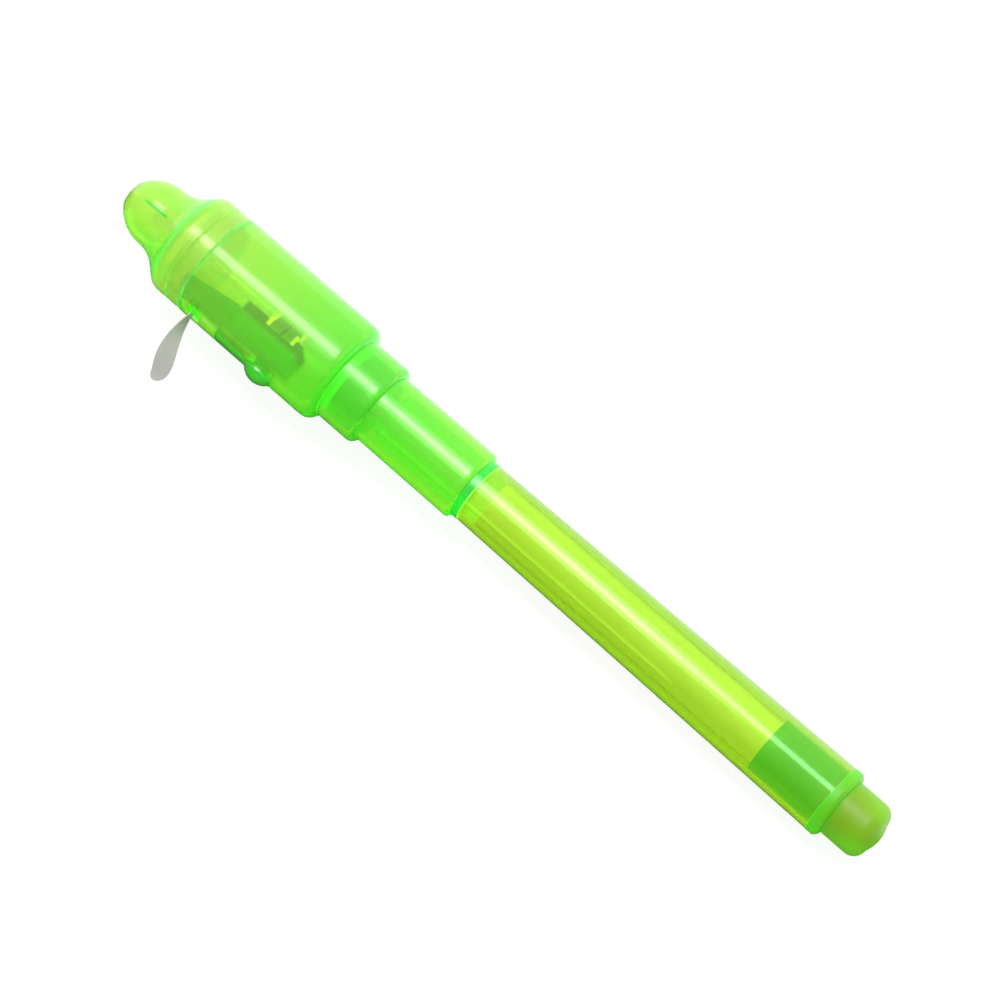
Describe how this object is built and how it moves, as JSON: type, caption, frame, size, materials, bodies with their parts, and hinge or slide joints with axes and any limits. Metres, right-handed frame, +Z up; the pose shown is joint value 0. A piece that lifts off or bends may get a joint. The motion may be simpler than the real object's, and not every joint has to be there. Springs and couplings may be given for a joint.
{
  "type": "uv invisible ink pen",
  "caption": "Slim translucent fibre-tip pen whose cap holds an ultraviolet torch with a side button, a pull tab and a bell-shaped nose.",
  "frame": {"origin": "on the pen's axis at the seat of the tail post, the rear face of the end plug's flange", "axes": "+X along the pen towards the tail, so the torch's nose points to -X; the button and the pull tab face -Y; +Z is up as the pen lies"},
  "size_m": [0.1348, 0.024, 0.016],
  "materials": {
    "cap_plastic": "glossy translucent fluorescent green",
    "barrel_plastic": "glossy translucent yellow-green",
    "plug_plastic": "glossy translucent green",
    "nib_fibre": "matte pressed fibre",
    "ink_fibre": "matte white fibre",
    "clear_film": "clear film",
    "lamp_resin": "clear resin with a faint violet tint",
    "tinned_lead": "tinned",
    "carrier_plastic": "matte black",
    "cell_steel": "nickel-plated",
    "contact_brass": "bright stamped brass",
    "tab_film": "milky film"
  },
  "bodies": {
    "pen": {"barrel": "barrel_plastic", "front_section": "cap_plastic", "nib": "nib_fibre", "reservoir_fibre": "ink_fibre", "reservoir_film": "clear_film", "end_plug": "plug_plastic"},
    "cap": {"torch_housing": "cap_plastic", "cap_sleeve": "cap_plastic", "led_lens": "lamp_resin", "led_anode_lead": "tinned_lead", "led_cathode_lead": "tinned_lead", "battery_carrier": "carrier_plastic", "coin_cell_front": "cell_steel", "coin_cell_rear": "cell_steel", "front_contact": "contact_brass", "rear_contact": "contact_brass"},
    "nose": {"nose_cone": "cap_plastic"},
    "button": {"button_tongue": "cap_plastic"},
    "leaf": {"switch_leaf": "contact_brass"},
    "tab": {"pull_tab": "tab_film"}
  },
  "joints": [
    {"name": "cap_pull", "type": "slide", "parent": "pen", "child": "cap", "axis": [-1, 0, 0], "range_m": [0, 0.04]},
    {"name": "nose_pull", "type": "slide", "parent": "cap", "child": "nose", "axis": [-1, 0, 0], "range_m": [0, 0.018]},
    {"name": "button_press", "type": "hinge", "parent": "cap", "child": "button", "pos_m": [-0.1055, -0.0071, 0], "axis": [0, 0, 1], "range_deg": [0, 3.4], "stiffness_Nm_per_rad": 0.08},
    {"name": "leaf_flex", "type": "hinge", "parent": "cap", "child": "leaf", "pos_m": [-0.104, -0.00592, 0], "axis": [0, 0, 1], "range_deg": [0, 3.4]},
    {"name": "tab_pull", "type": "slide", "parent": "cap", "child": "tab", "axis": [0, -1, 0], "range_m": [0, 0.0095]}
  ],
  "couplings": [
    {"joint": "leaf_flex", "follows": "button_press", "ratio": 1}
  ]
}
